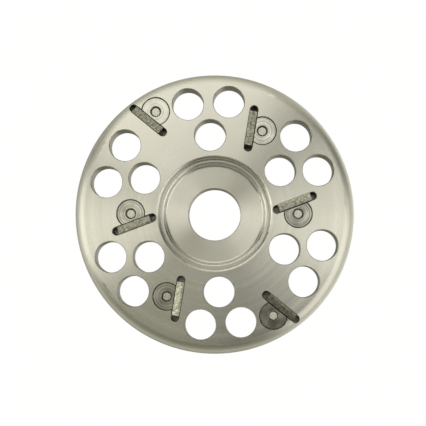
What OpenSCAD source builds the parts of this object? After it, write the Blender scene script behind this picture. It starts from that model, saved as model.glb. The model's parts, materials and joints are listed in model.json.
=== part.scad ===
// Face-milling disc with six clamped knives, in millimetres.
// Origin: centre of the bore on the hub's back seat. +Z is the bore's axis, towards the cutting face.
// Each knife stands in a blind slot. A D-shaped wedge beside it sits in a conical pocket,
// and a countersunk screw from the back pulls the wedge down, which presses the knife to the slot's far wall.

/* [Disc] */
// Outer diameter of the disc
disc_d = 119.4; // [118:0.2:126]
// Thickness of the plate
plate_t = 6; // [6:0.5:7]
// Radius of the rounded front rim
rim_round = 4.8; // [3:0.1:5]
// Chamfer on the back edge of the rim
rim_chamfer = 0.5; // [0.2:0.1:0.6]

/* [Hub] */
// Bore for the spindle's flange
bore_d = 22.23; // [20:0.01:25.4]
// Diameter of the hub boss on the back
hub_d = 50; // [44:0.5:51]
// How far the hub boss stands behind the plate
hub_proud = 2; // [1:0.5:3]
// Thickness of the web that the nut clamps
web_t = 4.8; // [4:0.1:5.5]
// Diameter of the recess's flat floor
recess_floor_d = 40.2; // [37:0.2:40.4]
// Width of the curved step between the floor and the ledge
ledge_w = 2.3; // [2:0.1:2.4]
// Height of the ledge above the recess floor
ledge_h = 1.5; // [1.2:0.1:1.6]
// Diameter of the recess above its ledge
recess_step_d = 46.4; // [46.2:0.1:46.6]
// Chamfer at both ends of the bore
bore_chamfer = 0.3; // [0.1:0.1:0.5]
// Chamfer round the hub boss
hub_chamfer = 0.6; // [0.2:0.1:1]

/* [Through holes] */
// Diameter of the through holes
hole_d = 13.2; // [10:0.1:13.4]
// Radius of the circle of inner holes
inner_hole_r = 33.2; // [33:0.1:34]
// Radius of the circle of outer holes
outer_hole_r = 47.5; // [47:0.1:48]
// Angle of the first group of three holes
hole_azimuth = 33.2; // [33:0.1:34]
// Angle from a group's middle to each of its outer holes
hole_spread = 10.5; // [10:0.1:11]
// Deburring chamfer on the holes
hole_chamfer = 0.25; // [0.1:0.05:0.3]

/* [Knife stations] */
// Distance of the innermost pair of clamp screws from the bore's axis
station_r_inner = 35.4; // [35:0.1:36]
// Distance of the middle pair of clamp screws
station_r_middle = 40.4; // [39:0.1:42]
// Distance of the outermost pair of clamp screws
station_r_outer = 49.8; // [48:0.1:50]
// Angle between a slot and the radius through its clamp screw
slot_angle = 20.8; // [18:0.1:24]
// Width of the slot
slot_w = 3.5; // [3.4:0.1:3.8]
// Overall length of the slot
slot_len = 19.6; // [17:0.1:20]
// Depth of the slot below the front face
slot_depth = 4.4; // [4:0.1:4.6]
// Distance of the slot's centreline from the clamp screw's axis
slot_offset = 4.84; // [4.8:0.01:5.2]
// How far the slot's middle lies outwards of the clamp screw
slot_shift = 0.2; // [0:0.05:0.5]
// Broken edge round the slots and the wedges' pockets
edge_break = 0.15; // [0.05:0.05:0.2]

/* [Knives] */
// Length of a knife
knife_len = 14.3; // [12:0.1:15]
// Thickness of a knife
knife_t = 3.1; // [2.9:0.05:3.2]
// How far the cutting edge stands in front of the plate
knife_proud = 0.8; // [0.3:0.1:1.5]
// Width of the flat land behind the cutting edge
land_w = 0.8; // [0.4:0.1:1.2]
// Relief angle behind the land
relief = 11; // [5:1:15]

/* [Clamp wedges] */
// Diameter of the wedge's pocket at the front face
pocket_d = 12.1; // [11.5:0.1:12.4]
// Half-angle of the wedge's cone
taper = 8; // [5:1:10]
// Gap between the wedge and its pocket
wedge_gap = 0.12; // [0.08:0.01:0.2]
// Height of the wedge
wedge_h = 3; // [2.6:0.1:3.1]
// How far the wedge's face lies below the plate's front
wedge_below = 0.4; // [0.3:0.1:0.6]
// Gap between the wedge's flat and the knife
flat_gap = 0.16; // [0.05:0.01:0.2]
// Chamfer along the top of the wedge's flat
flat_chamfer = 0.3; // [0.1:0.05:0.4]
// Diameter of the chamfered mouth of the wedge's hole
wedge_mouth_d = 4.8; // [4.4:0.1:5.4]

/* [Clamp screws] */
// Diameter of the screw's neck
screw_d = 5; // [5:0.1:5.2]
// Core diameter of the screw's thread, at which the thread is modelled
thread_core_d = 4.1; // [4:0.05:4.2]
// Diameter of the screw's head
head_d = 7; // [6.8:0.1:7.2]
// Radial gap between the screw and the holes it turns in
screw_gap = 0.05; // [0.03:0.01:0.08]
// How far the screw's tip lies below the wedge's face
tip_below = 0.6; // [0.2:0.1:0.8]
// Diameter of the flat on the screw's tip
tip_d = 3.3; // [3:0.1:3.8]
// Point-to-point size of the screw's six-lobed drive
drive_d = 3.95; // [3.3:0.05:4]
// Depth of the drive
drive_depth = 1.4; // [1:0.1:1.5]

/* [Hidden] */
STATIONS = 6;
NUMBERS = [1 : STATIONS];
$fn = 96;

// Overshoot of a cut beyond the face it leaves
past = 1;

// Heights above the hub's back seat
back_z = hub_proud;
front_z = hub_proud + plate_t;
ledge_z = web_t + ledge_h;
slot_floor_z = front_z - slot_depth;
wedge_top_z = front_z - wedge_below;
wedge_bottom_z = wedge_top_z - wedge_h;
pocket_floor_z = wedge_bottom_z - 0.2;
head_z = back_z + 0.05;
tip_z = wedge_top_z - tip_below;

// Roundings of the recess, and chamfers and lands on the wedge and the screw
mouth_round = min(1.45, front_z - ledge_z - 0.25);
ledge_fillet = 0.2;
wedge_chamfer = 0.25;
head_land = 0.25;
head_half_angle = 30;

// Across the slot: the knife leans on the far wall and the wedge's flat faces the knife
knife_far = slot_offset + slot_w / 2 - 0.08;
knife_near = knife_far - knife_t;
wedge_flat = knife_near - flat_gap;

// Inner size and hollow radius of the six-lobed drive, as shares of its point-to-point size
drive_inner = 0.72 * drive_d;
drive_hollow_r = 0.22 * drive_d;

function station_r(n) = [station_r_inner, station_r_middle, station_r_outer][(n - 1) % 3];
function pocket_r(z) = pocket_d / 2 - (front_z - z) * tan(taper);
function wedge_r(z) = pocket_r(z) - wedge_gap;

// Moves children to knife station n: its origin is on the screw's axis, X runs along the slot, outwards
module at_station(n) {
    rotate(360 / STATIONS * (n - 1))
        translate([station_r(n), 0, 0])
            rotate(slot_angle)
                children();
}

// Places children at every through hole
module at_holes() {
    for (group = [0 : STATIONS - 1]) {
        rotate(hole_azimuth + 360 / STATIONS * group) {
            translate([inner_hole_r, 0, 0]) children();
            for (side = [-1, 1])
                rotate(side * hole_spread) translate([outer_hole_r, 0, 0]) children();
        }
    }
}

// Corner between a wall at radius r and a face at height z that a rounding f removes
module outer_corner(r, z, f) {
    translate([r, z - f])
        difference() {
            square([f, f + past]);
            translate([f, 0]) circle(f);
        }
}

// Corner between a wall at radius r and a floor at height z that a rounding f fills
module inner_corner(r, z, f) {
    translate([r - f, z])
        difference() {
            square(f);
            translate([0, f]) circle(f);
        }
}

// Half section of the plate and hub, before the recess and the bore
module plate_section() {
    rim_z = front_z - rim_round;
    polygon([
        [0, back_z],
        [disc_d / 2 - rim_chamfer, back_z],
        [disc_d / 2, back_z + rim_chamfer],
        [disc_d / 2, rim_z],
        [0, rim_z]
    ]);
    translate([0, rim_z]) square([disc_d / 2 - rim_round, rim_round]);
    translate([disc_d / 2 - rim_round, rim_z])
        intersection() {
            circle(rim_round);
            square(rim_round);
        }
    polygon([
        [0, 0],
        [hub_d / 2 - hub_chamfer, 0],
        [hub_d / 2, hub_chamfer],
        [hub_d / 2, back_z + past],
        [0, back_z + past]
    ]);
}

// Half section of the stepped recess that the clamping nut sits in
module recess_section() {
    floor_r = recess_floor_d / 2;
    ledge_r = floor_r + ledge_w;
    step_r = recess_step_d / 2;
    // Two equal arcs lead from the floor up to the ledge and meet halfway
    arc_r = (ledge_w * ledge_w + ledge_h * ledge_h) / (4 * ledge_h);
    difference() {
        translate([0, web_t]) square([ledge_r, front_z - web_t + past]);
        difference() {
            translate([floor_r, web_t]) square([ledge_w / 2, arc_r]);
            translate([floor_r, web_t + arc_r]) circle(arc_r);
        }
        intersection() {
            translate([floor_r + ledge_w / 2, web_t]) square([ledge_w / 2, ledge_h + past]);
            translate([ledge_r, ledge_z - arc_r]) circle(arc_r);
        }
    }
    difference() {
        translate([0, ledge_z]) square([step_r, front_z - ledge_z + past]);
        inner_corner(step_r, ledge_z, ledge_fillet);
    }
    outer_corner(step_r, front_z, mouth_round);
}

// Half section of the bore with a chamfer at both ends
module bore_section() {
    r = bore_d / 2;
    wide = r + bore_chamfer + past;
    polygon([
        [0, -past],
        [wide, -past],
        [r, bore_chamfer],
        [r, web_t - bore_chamfer],
        [wide, web_t + past],
        [0, web_t + past]
    ]);
}

module through_hole() {
    r = hole_d / 2;
    wide = r + hole_chamfer + past;
    rotate_extrude()
        polygon([
            [0, back_z - past],
            [wide, back_z - past],
            [r, back_z + hole_chamfer],
            [r, front_z - hole_chamfer],
            [wide, front_z + past],
            [0, front_z + past]
        ]);
}

// Broken edges of a slot's mouth: one cone at each end and a prism between them
module slot_mouth(cap) {
    r = slot_w / 2;
    wide = r + edge_break + past;
    low_z = front_z - edge_break;
    for (end = [-cap, cap])
        translate([slot_shift + end, slot_offset, low_z])
            cylinder(h = edge_break + past, r1 = r, r2 = wide);
    translate([slot_shift - cap, slot_offset, 0])
        rotate([90, 0, 90])
            linear_extrude(2 * cap)
                polygon([[-r, low_z], [r, low_z], [wide, front_z + past], [-wide, front_z + past]]);
}

// Knife slot, wedge pocket and screw hole of one station
module station_cut() {
    cap = slot_len / 2 - slot_w / 2;
    mouth_r = pocket_r(front_z - edge_break);
    slot_mouth(cap);
    translate([0, 0, front_z - edge_break])
        cylinder(h = edge_break + past, r1 = mouth_r, r2 = mouth_r + edge_break + past);
    translate([slot_shift, slot_offset, slot_floor_z])
        linear_extrude(slot_depth + past)
            union() {
                square([2 * cap, slot_w], center = true);
                for (end = [-cap, cap])
                    translate([end, 0]) circle(d = slot_w);
            }
    translate([0, 0, pocket_floor_z])
        cylinder(h = front_z + past - pocket_floor_z, r1 = pocket_r(pocket_floor_z), r2 = pocket_r(front_z + past));
    translate([0, 0, back_z - past])
        cylinder(h = plate_t, d = screw_d + 2 * screw_gap);
    translate([0, 0, back_z - past])
        cylinder(h = head_land + past, d = head_d + 2 * screw_gap);
    cone_h = (head_d - screw_d) / 2 / tan(head_half_angle);
    translate([0, 0, back_z + head_land])
        cylinder(h = cone_h, r1 = head_d / 2 + screw_gap, r2 = screw_d / 2 + screw_gap);
}

module disc_body() {
    color([0.80, 0.80, 0.75])
        difference() {
            rotate_extrude()
                difference() {
                    plate_section();
                    recess_section();
                    bore_section();
                }
            at_holes() through_hole();
            for (n = NUMBERS)
                at_station(n) station_cut();
        }
}

// Reversible bar: the same land and relief at the top edge that cuts and at the spare edge below
module knife(n) {
    top_z = front_z + knife_proud;
    drop = (knife_t - land_w) * tan(relief);
    color([0.45, 0.45, 0.41])
        at_station(n)
            translate([slot_shift - knife_len / 2, 0, 0])
                rotate([90, 0, 90])
                    linear_extrude(knife_len)
                        polygon([
                            [knife_near, slot_floor_z],
                            [knife_near + land_w, slot_floor_z],
                            [knife_far, slot_floor_z + drop],
                            [knife_far, top_z],
                            [knife_far - land_w, top_z],
                            [knife_near, top_z - drop]
                        ]);
}

// Conical plug with one flat: its hole is shown at the thread's core diameter
module clamp_wedge(n) {
    hole_r = thread_core_d / 2 + screw_gap;
    mouth_r = wedge_mouth_d / 2;
    color([0.66, 0.66, 0.60])
        at_station(n)
            difference() {
                rotate_extrude()
                    polygon([
                        [hole_r, wedge_bottom_z],
                        [wedge_r(wedge_bottom_z), wedge_bottom_z],
                        [wedge_r(wedge_top_z - wedge_chamfer), wedge_top_z - wedge_chamfer],
                        [wedge_r(wedge_top_z) - wedge_chamfer, wedge_top_z],
                        [mouth_r, wedge_top_z],
                        [hole_r, wedge_top_z - (mouth_r - hole_r)]
                    ]);
                translate([-pocket_d, wedge_flat, wedge_bottom_z - past])
                    cube([2 * pocket_d, pocket_d, wedge_h + 2 * past]);
                translate([-pocket_d, 0, 0])
                    rotate([90, 0, 90])
                        linear_extrude(2 * pocket_d)
                            polygon([
                                [wedge_flat - flat_chamfer - past, wedge_top_z + past],
                                [wedge_flat + past, wedge_top_z - flat_chamfer - past],
                                [wedge_flat + past, wedge_top_z + past]
                            ]);
            }
}

// Outline of the six-lobed drive
module drive_outline() {
    difference() {
        circle(d = drive_d);
        for (lobe = [0 : 5])
            rotate(60 * lobe + 30)
                translate([drive_inner / 2 + drive_hollow_r, 0])
                    circle(drive_hollow_r);
    }
}

// Countersunk screw, head at the back, with its thread at core diameter
module clamp_screw(n) {
    land_z = back_z + head_land;
    cone_h = (head_d - screw_d) / 2 / tan(head_half_angle);
    neck_top_z = pocket_floor_z;
    core_r = thread_core_d / 2;
    tip_chamfer = core_r - tip_d / 2;
    color([0.85, 0.85, 0.82])
        at_station(n)
            difference() {
                rotate_extrude()
                    polygon([
                        [0, head_z],
                        [head_d / 2, head_z],
                        [head_d / 2, land_z],
                        [screw_d / 2, land_z + cone_h],
                        [screw_d / 2, neck_top_z],
                        [core_r, neck_top_z],
                        [core_r, tip_z - tip_chamfer],
                        [tip_d / 2, tip_z],
                        [0, tip_z]
                    ]);
                translate([0, 0, head_z - past])
                    linear_extrude(drive_depth + past) drive_outline();
            }
}

disc_body();
for (n = NUMBERS) {
    knife(n);
    clamp_wedge(n);
    clamp_screw(n);
}
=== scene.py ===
import json
import math

import bpy
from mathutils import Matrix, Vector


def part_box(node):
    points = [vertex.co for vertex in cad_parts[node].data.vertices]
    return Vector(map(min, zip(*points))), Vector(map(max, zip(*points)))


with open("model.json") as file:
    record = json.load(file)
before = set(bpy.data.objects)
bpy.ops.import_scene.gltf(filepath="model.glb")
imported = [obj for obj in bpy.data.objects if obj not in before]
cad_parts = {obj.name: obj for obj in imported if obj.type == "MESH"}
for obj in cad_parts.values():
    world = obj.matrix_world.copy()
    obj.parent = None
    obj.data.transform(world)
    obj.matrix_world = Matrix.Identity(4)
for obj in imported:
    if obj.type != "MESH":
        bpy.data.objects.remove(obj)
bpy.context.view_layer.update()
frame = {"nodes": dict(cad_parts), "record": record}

MM = 0.001
STATIONS = range(1, 7)

nodes = frame["nodes"]
disc_low, disc_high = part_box("disc_body")
FRONT_Z = disc_high.z
DISC_R = disc_high.x
joint_of = {j["name"]: j for j in frame["record"]["behaviour"]["joints"]}

# Angle between a slot and the radius through its clamp screw
SLOT_ANGLE = math.radians(20.8)

# Distances from the disc's axis, in millimetres: the recess's mouth, the two edges of its ledge and
# the start of the rounded rim. FADE is half the width over which one finish gives way to the next.
RECESS_R = 24.65
LEDGE_IN, LEDGE_OUT = 22.2, 23.2
RIM_R = DISC_R / MM - 4.7
FADE = 0.3

# How bright the knife and the screw's tip are at each station. The knife tones are painted light and shade,
# each knife made lighter or darker to stand in for how the light falls on it; the screw tones make some tips
# lighter and others darker.
KNIFE_LIGHT_TONES = (1.4, 1.0, 0.85, 0.9, 1.55, 0.8)
SCREW_TONES = (1.0, 1.0, 1.1, 1.05, 0.75, 0.95)

# Base colours, linear
ALUMINIUM = (0.82, 0.81, 0.78)
CARBIDE = (0.385, 0.385, 0.335)
WEDGE_STEEL = (0.65, 0.645, 0.615)
ZINC = (0.82, 0.81, 0.78)
WHITE = (1.0, 1.0, 0.995)


# ---------------------------------------------------------------- node helpers

class Nodes:
    """Short calls for building one material's or world's node tree."""

    def __init__(self, owner):
        owner.use_nodes = True
        self.tree = owner.node_tree
        self.tree.nodes.clear()

    def add(self, kind, **settings):
        node = self.tree.nodes.new(kind)
        for name, value in settings.items():
            setattr(node, name, value)
        return node

    def feed(self, socket, value):
        if isinstance(value, bpy.types.NodeSocket):
            self.tree.links.new(value, socket)
        elif value is not None:
            socket.default_value = value

    def math(self, operation, a, b=None, c=None, clamp=False):
        node = self.add("ShaderNodeMath", operation=operation, use_clamp=clamp)
        for socket, value in zip(node.inputs, (a, b, c)):
            self.feed(socket, value)
        return node.outputs[0]

    def vector(self, operation, a, b=None, scale=None):
        node = self.add("ShaderNodeVectorMath", operation=operation)
        self.feed(node.inputs[0], a)
        self.feed(node.inputs[1], b)
        if scale is not None:
            self.feed(node.inputs["Scale"], scale)
        scalar = operation in ("LENGTH", "DOT_PRODUCT", "DISTANCE")
        return node.outputs["Value" if scalar else "Vector"]

    def split(self, vector):
        node = self.add("ShaderNodeSeparateXYZ")
        self.feed(node.inputs[0], vector)
        return node.outputs

    def join(self, x=0.0, y=0.0, z=0.0):
        node = self.add("ShaderNodeCombineXYZ")
        for socket, value in zip(node.inputs, (x, y, z)):
            self.feed(socket, value)
        return node.outputs[0]

    def ramp(self, value, low, high, out_low=0.0, out_high=1.0, smooth=True):
        node = self.add("ShaderNodeMapRange", interpolation_type="SMOOTHSTEP" if smooth else "LINEAR")
        for socket, v in zip(node.inputs, (value, low, high, out_low, out_high)):
            self.feed(socket, v)
        return node.outputs[0]

    def mix(self, factor, a, b):
        node = self.add("ShaderNodeMix", data_type="FLOAT")
        self.feed(node.inputs[0], factor)
        self.feed(node.inputs[2], a)
        self.feed(node.inputs[3], b)
        return node.outputs[0]

    def mix_vector(self, factor, a, b):
        node = self.add("ShaderNodeMix", data_type="VECTOR")
        self.feed(node.inputs[0], factor)
        self.feed(node.inputs[4], a)
        self.feed(node.inputs[5], b)
        return node.outputs[1]

    def cloud(self, vector, size, detail=3.0, roughness=0.55):
        """Noise in space, from 0 to 1, whose lumps are about that many millimetres across."""
        node = self.add("ShaderNodeTexNoise", noise_dimensions="3D")
        self.feed(node.inputs["Vector"], vector)
        node.inputs["Scale"].default_value = 1 / size
        node.inputs["Detail"].default_value = detail
        node.inputs["Roughness"].default_value = roughness
        return node.outputs["Fac"]

    def marks(self, along, size, detail=2.0, roughness=0.5):
        """Noise along one measure in millimetres, from 0 to 1: parallel or concentric tool marks."""
        node = self.add("ShaderNodeTexNoise", noise_dimensions="1D")
        self.feed(node.inputs["W"], along)
        node.inputs["Scale"].default_value = 1 / size
        node.inputs["Detail"].default_value = detail
        node.inputs["Roughness"].default_value = roughness
        return node.outputs["Fac"]

    def bump(self, height, distance, normal=None):
        """Relief as high as distance, in metres, where height goes from 0 to 1."""
        node = self.add("ShaderNodeBump")
        node.inputs["Strength"].default_value = 1.0
        node.inputs["Distance"].default_value = distance
        self.feed(node.inputs["Height"], height)
        self.feed(node.inputs["Normal"], normal)
        return node.outputs[0]

    def painted_gap_shade(self, reach, closed, opened):
        """Painted shade deep in a gap: 0 deep in a gap, 1 on open surfaces; reach in millimetres is how far
        the gap's walls may stand.
        """
        node = self.add("ShaderNodeAmbientOcclusion", samples=8)
        node.inputs["Distance"].default_value = reach * MM
        return self.ramp(node.outputs["AO"], closed, opened)

    def swing(self, value, spread):
        """Turns noise from 0 to 1 into a factor that swings round 1 by the spread."""
        return self.ramp(value, 0.25, 0.75, 1 - spread, 1 + spread, smooth=False)


# ---------------------------------------------------------------- materials

class Metal(Nodes):
    """A metal with its position, facing and distances in millimetres ready for its marks."""

    def __init__(self, name, centre=(0, 0), anisotropy=0.0):
        self.material = bpy.data.materials.new(name)
        super().__init__(self.material)
        coords = self.add("ShaderNodeTexCoord")
        shift = (-centre[0] / MM, -centre[1] / MM, 0)
        self.place = self.vector("ADD", self.vector("SCALE", coords.outputs["Object"], scale=1 / MM), shift)
        self.x, self.y, self.z = self.split(self.place)
        self.radius = self.vector("LENGTH", self.join(self.x, self.y))
        self.facing = coords.outputs["Normal"]
        self.upright = self.math("ABSOLUTE", self.split(self.facing)[2])
        self.wall = self.ramp(self.upright, 0.15, 0.35, 1, 0)
        self.shader = self.add("ShaderNodeBsdfPrincipled")
        self.shader.inputs["Metallic"].default_value = 1.0
        self.shader.inputs["Anisotropic"].default_value = anisotropy
        output = self.add("ShaderNodeOutputMaterial")
        self.feed(output.inputs["Surface"], self.shader.outputs["BSDF"])

    def across_turning(self):
        """The direction across marks that run round the centre: radial on a face, upwards on a wall."""
        around = self.vector("NORMALIZE", self.vector("CROSS_PRODUCT", (0, 0, 1), self.join(self.x, self.y)))
        across = self.vector("CROSS_PRODUCT", around, self.facing)
        return self.vector("NORMALIZE", self.vector("ADD", across, (0, 0, 0.001)))

    def finish(self, colour, shades, roughness, normal, tangent=None):
        """Joins the shader up: every shade is a factor on the colour."""
        shade = shades[0]
        for factor in shades[1:]:
            shade = self.math("MULTIPLY", shade, factor)
        self.feed(self.shader.inputs["Base Color"], self.vector("SCALE", colour, scale=shade))
        self.feed(self.shader.inputs["Roughness"], roughness)
        self.feed(self.shader.inputs["Normal"], normal)
        if tangent is not None:
            self.feed(self.shader.inputs["Tangent"], tangent)
        return self.material


def turned_aluminium():
    """The disc: turned faces with concentric marks, a coarser recess, bored holes and milled slots."""
    m = Metal("turned_aluminium", anisotropy=0.85)
    # marks run round the axis on the faces and rim, and round each bore on its wall
    track = m.mix(m.wall, m.math("SUBTRACT", m.radius, m.z), m.z)
    fine = m.marks(track, 0.22, detail=2)
    broad = m.marks(track, 3.2, detail=3)
    haze = m.cloud(m.place, 16, detail=3)
    grain = m.cloud(m.place, 0.35, detail=2)

    # where each finish lies, from 0 to 1; the ledge, the rim's outer edge and the inner walls are bands that
    # only carry painted shade
    recess = m.ramp(m.radius, RECESS_R - 0.2, RECESS_R + 0.1, 1, 0)
    curved = m.math("MULTIPLY", recess, m.ramp(m.upright, 0.90, 0.985, 1, 0))
    # the recess's ledge, darkened with painted shade
    ledge = m.math(
        "MULTIPLY",
        m.ramp(m.radius, LEDGE_IN - FADE, LEDGE_IN + FADE),
        m.ramp(m.radius, LEDGE_OUT - FADE, LEDGE_OUT + FADE, 1, 0),
    )
    rim = m.ramp(m.radius, RIM_R - FADE, RIM_R + FADE)
    # the outermost, steepest part of the rim, darkened with painted shade
    edge = m.math("MULTIPLY", rim, m.ramp(m.upright, 0.5, 0.85, 1, 0))
    # the walls inside the rim (holes, slots, recess and boss), darkened with painted shade
    shaded_inner_wall = m.math("MULTIPLY", m.wall, m.math("SUBTRACT", 1, rim))

    roughness = m.mix(recess, 0.26, 0.40)
    roughness = m.mix(curved, roughness, 0.25)
    roughness = m.mix(rim, roughness, 0.34)
    roughness = m.mix(m.wall, roughness, 0.42)
    roughness = m.math("MULTIPLY", roughness, m.swing(broad, 0.05))
    roughness = m.math("MULTIPLY", roughness, m.swing(grain, 0.05))

    gap = m.painted_gap_shade(3.0, 0.14, 0.66)
    chatter = m.marks(m.math("ADD", m.radius, m.math("MULTIPLY", haze, 2.0)), 0.7, detail=3)
    shades = (
        m.swing(fine, 0.02),
        m.swing(broad, 0.03),
        m.swing(haze, 0.04),
        m.swing(grain, 0.025),
        m.mix(curved, 1.0, m.swing(chatter, 0.25)),
        # painted shade on the ledge
        m.mix(ledge, 1.0, 0.82),
        # painted shade on the rim's outermost edge
        m.mix(edge, 1.0, 0.70),
        # painted shade, darker deep in gaps
        m.mix(gap, 0.10, 1.0),
        # painted shade on the inner walls
        m.mix(shaded_inner_wall, 1.0, 0.45),
    )
    normal = m.bump(m.math("ADD", fine, m.math("MULTIPLY", grain, 0.1)), 0.7e-6)
    return m.finish(ALUMINIUM, shades, roughness, normal, m.across_turning())


def ground_carbide(number):
    """A knife: dark sintered metal with a mottled grain and fine grinding lines along its length."""
    seat = joint_of[f"clamp_screw_{number}_turn"]["pos_m"]
    m = Metal(f"ground_carbide_{number}", centre=seat)
    lean = math.atan2(seat[1], seat[0]) + SLOT_ANGLE
    across = m.vector("DOT_PRODUCT", m.place, (-math.sin(lean), math.cos(lean), 0))
    lines = m.marks(m.math("ADD", across, m.z), 0.12, detail=2)
    mottle = m.cloud(m.vector("ADD", m.place, (17.0 * number, 0, 0)), 1.1, detail=4, roughness=0.65)
    specks = m.cloud(m.place, 0.5, detail=3, roughness=0.65)
    gap = m.painted_gap_shade(1.2, 0.15, 0.6)
    shades = (
        m.swing(mottle, 0.70),
        m.swing(specks, 0.70),
        m.swing(lines, 0.25),
        # painted shade, darker deep in gaps
        m.mix(gap, 0.25, 1.0),
        # painted light and shade for this station's knife
        KNIFE_LIGHT_TONES[number - 1],
    )
    roughness = m.math("MULTIPLY", m.swing(mottle, 0.12), 0.40)
    normal = m.bump(m.math("ADD", lines, m.math("MULTIPLY", specks, 1.5)), 2.0e-6)
    return m.finish(CARBIDE, shades, roughness, normal)


def faced_steel(number):
    """A clamp wedge: faced on a lathe, so its rings run round its own screw."""
    seat = joint_of[f"clamp_screw_{number}_turn"]["pos_m"]
    m = Metal(f"faced_steel_{number}", centre=seat, anisotropy=0.5)
    track = m.math("ADD", m.mix(m.wall, m.radius, m.z), 11.0 * number)
    rings = m.marks(track, 0.6, detail=3, roughness=0.6)
    fine = m.marks(track, 0.14, detail=1)
    stain = m.cloud(m.vector("ADD", m.place, (0, 23.0 * number, 0)), 3.5, detail=4)
    gap = m.painted_gap_shade(1.5, 0.12, 0.6)
    shades = (
        m.swing(rings, 0.38),
        m.swing(fine, 0.12),
        m.swing(stain, 0.20),
        # painted shade, darker deep in gaps
        m.mix(gap, 0.10, 1.0),
    )
    roughness = m.math("MULTIPLY", m.swing(stain, 0.12), 0.21)
    normal = m.bump(m.math("ADD", m.math("MULTIPLY", rings, 2.5), fine), 1.2e-6)
    return m.finish(WEDGE_STEEL, shades, roughness, normal, m.across_turning())


def plated_steel(number):
    """A clamp screw: zinc over steel, dull and slightly pitted, with faint facing rings on its tip."""
    seat = joint_of[f"clamp_screw_{number}_turn"]["pos_m"]
    m = Metal(f"plated_steel_{number}", centre=seat)
    rings = m.marks(m.math("ADD", m.radius, m.z), 0.3, detail=2)
    pits = m.cloud(m.place, 0.5, detail=4, roughness=0.65)
    gap = m.painted_gap_shade(1.0, 0.2, 0.75)
    shades = (
        m.swing(rings, 0.22),
        m.swing(pits, 0.60),
        # painted shade, darker deep in gaps
        m.mix(gap, 0.06, 1.0),
        SCREW_TONES[number - 1],
    )
    roughness = m.math("MULTIPLY", m.swing(pits, 0.12), 0.55)
    normal = m.bump(pits, 4.0e-6)
    return m.finish(ZINC, shades, roughness, normal)


def paint(node_name, material):
    mesh = nodes[node_name].data
    mesh.materials.clear()
    mesh.materials.append(material)


paint("disc_body", turned_aluminium())
for number in STATIONS:
    paint(f"knife_{number}", ground_carbide(number))
    paint(f"clamp_wedge_{number}", faced_steel(number))
    paint(f"clamp_screw_{number}", plated_steel(number))


# ---------------------------------------------------------------- camera, floor and light

def camera():
    """Looks straight down, a little to the front of the disc, with the lens shifted to frame it."""
    data = bpy.data.cameras.new("camera")
    data.sensor_width = 36
    data.lens = 49.86
    data.shift_x = -0.0419
    data.shift_y = 0.1715
    data.clip_start = 0.01
    data.clip_end = 10
    cam = bpy.data.objects.new("camera", data)
    bpy.context.scene.collection.objects.link(cam)
    cam.location = (6.9 * MM, -30.6 * MM, FRONT_Z + 249 * MM)
    bpy.context.scene.camera = cam


def floor():
    """An evenly lit white sheet under the disc, which the metal doesn't reflect."""
    bpy.ops.mesh.primitive_plane_add(size=8, location=(0, 0, disc_low.z))
    plane = bpy.context.object
    plane.name = "floor"
    mat = bpy.data.materials.new("floor_white")
    n = Nodes(mat)
    glow = n.add("ShaderNodeEmission")
    glow.inputs["Color"].default_value = (*WHITE, 1)
    glow.inputs["Strength"].default_value = 1.0
    clear = n.add("ShaderNodeBsdfTransparent")
    pick = n.add("ShaderNodeMixShader")
    n.feed(pick.inputs[0], n.add("ShaderNodeNewGeometry").outputs["Backfacing"])
    n.feed(pick.inputs[1], glow.outputs[0])
    n.feed(pick.inputs[2], clear.outputs[0])
    out = n.add("ShaderNodeOutputMaterial")
    n.feed(out.inputs[0], pick.outputs[0])
    plane.data.materials.append(mat)
    plane.visible_glossy = False
    plane.visible_diffuse = False
    plane.visible_shadow = False


NEUTRAL = (1.0, 0.98, 0.85)
WARM = (1.0, 0.96, 0.7)

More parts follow.
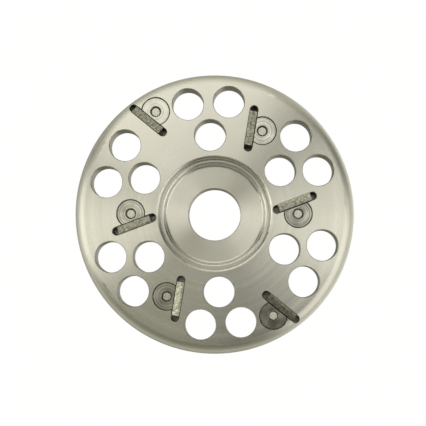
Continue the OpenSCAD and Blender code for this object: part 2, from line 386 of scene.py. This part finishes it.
# The studio's soft boxes on its dome. Angles are in degrees: the azimuth and the tilt from straight
# above of the middle, then half the width and half the height. Brightness 1 is paper white.
SOFT_BOXES = {
    "key_left": (175, 40, 20, 25, 1.4, NEUTRAL),
    "fill_right": (340, 45, 35, 25, 1.05, NEUTRAL),
    "strip_overhead_right": (20, 20, 35, 10, 1.1, NEUTRAL),
    "strip_overhead_left": (195, 15, 60, 10, 0.25, WARM),
    "main_far": (105, 30, 35, 20, 1.25, NEUTRAL),
    "strip_far_low": (90, 65, 45, 10, 0.65, WARM),
    "card_near": (235, 85, 60, 40, 0.2, WARM),
    "glow_below_right": (0, 130, 60, 25, 0.9, NEUTRAL),
}
# Share of a soft box's half size over which its edge fades, each way
SOFTNESS = 0.35

# The dome's own light overhead, round the horizon like a light table, and underneath
CEILING = (0.02, 0.02, 0.01)
TABLE = (0.55, 0.55, 0.45)
UNDER = (0.15, 0.15, 0.12)


def studio():
    """A dim dome with soft boxes on it, a light table round the disc, and plain white behind it all."""
    sky = bpy.data.worlds.new("studio")
    bpy.context.scene.world = sky
    n = Nodes(sky)
    x, y, z = n.split(n.add("ShaderNodeTexCoord").outputs["Generated"])
    azimuth = n.math("DEGREES", n.math("ARCTAN2", y, x))
    tilt = n.math("DEGREES", n.math("ARCCOSINE", z))

    light = n.mix_vector(n.ramp(tilt, 75, 95), CEILING, TABLE)
    light = n.mix_vector(n.ramp(tilt, 120, 160), light, UNDER)
    for box_azimuth, box_tilt, half_width, half_height, brightness, tint in SOFT_BOXES.values():
        aside = n.math("ABSOLUTE", n.math("WRAP", n.math("SUBTRACT", azimuth, box_azimuth), -180, 180))
        above = n.math("ABSOLUTE", n.math("SUBTRACT", tilt, box_tilt))
        across = n.ramp(aside, half_width * (1 - SOFTNESS), half_width * (1 + SOFTNESS), 1, 0)
        along = n.ramp(above, half_height * (1 - SOFTNESS), half_height * (1 + SOFTNESS), 1, 0)
        glow = n.math("MULTIPLY", n.math("MULTIPLY", across, along), brightness)
        light = n.vector("ADD", light, n.vector("SCALE", tint, scale=glow))

    lit = n.add("ShaderNodeBackground")
    n.feed(lit.inputs["Color"], light)
    plain = n.add("ShaderNodeBackground")
    plain.inputs["Color"].default_value = (*WHITE, 1)
    pick = n.add("ShaderNodeMixShader")
    n.feed(pick.inputs[0], n.add("ShaderNodeLightPath").outputs["Is Camera Ray"])
    n.feed(pick.inputs[1], lit.outputs[0])
    n.feed(pick.inputs[2], plain.outputs[0])
    out = n.add("ShaderNodeOutputWorld")
    n.feed(out.inputs[0], pick.outputs[0])


camera()
floor()
studio()
bpy.context.scene.view_settings.view_transform = "Standard"
